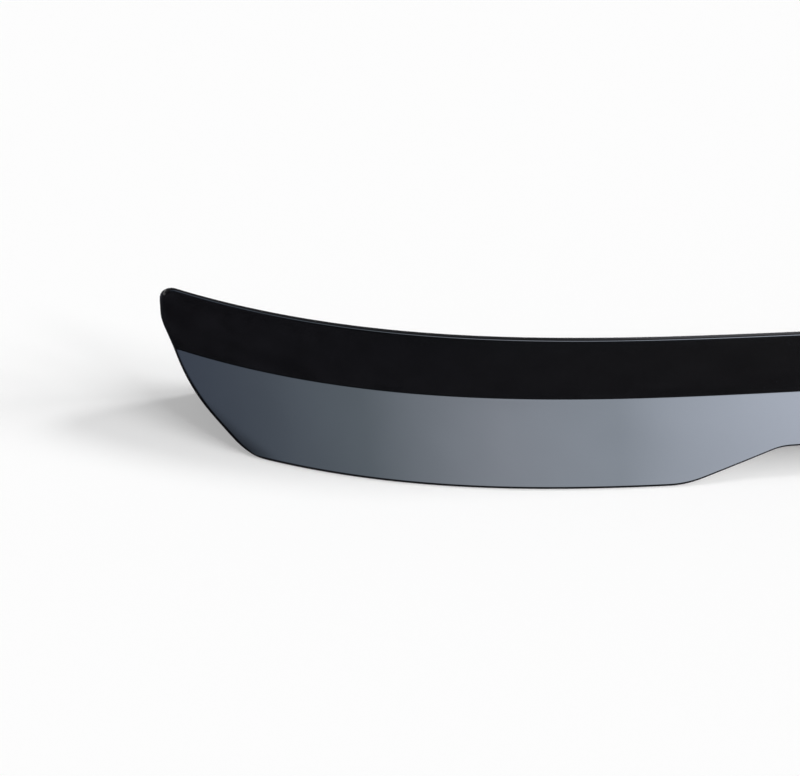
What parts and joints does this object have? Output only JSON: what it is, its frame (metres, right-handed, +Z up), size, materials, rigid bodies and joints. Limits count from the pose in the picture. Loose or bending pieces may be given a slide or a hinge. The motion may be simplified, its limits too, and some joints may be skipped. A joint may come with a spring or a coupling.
{
  "type": "trunk spoiler",
  "caption": "Gloss black ducktail trunk spoiler: a curved hollow moulding with a creased rear face, swept tips, a notch in its lower edge and a flat bonding flange.",
  "frame": {"origin": "middle of the leading-edge bonding flange, on its flat underside, at the centre line", "axes": "+X across the car, -Y to the rear of the car, +Z up from the trunk lid"},
  "size_m": [1.2, 0.1968, 0.1111],
  "materials": {
    "gloss_black": "gloss"
  },
  "bodies": {
    "root": {"spoiler_shell": "gloss_black"}
  },
  "joints": []
}
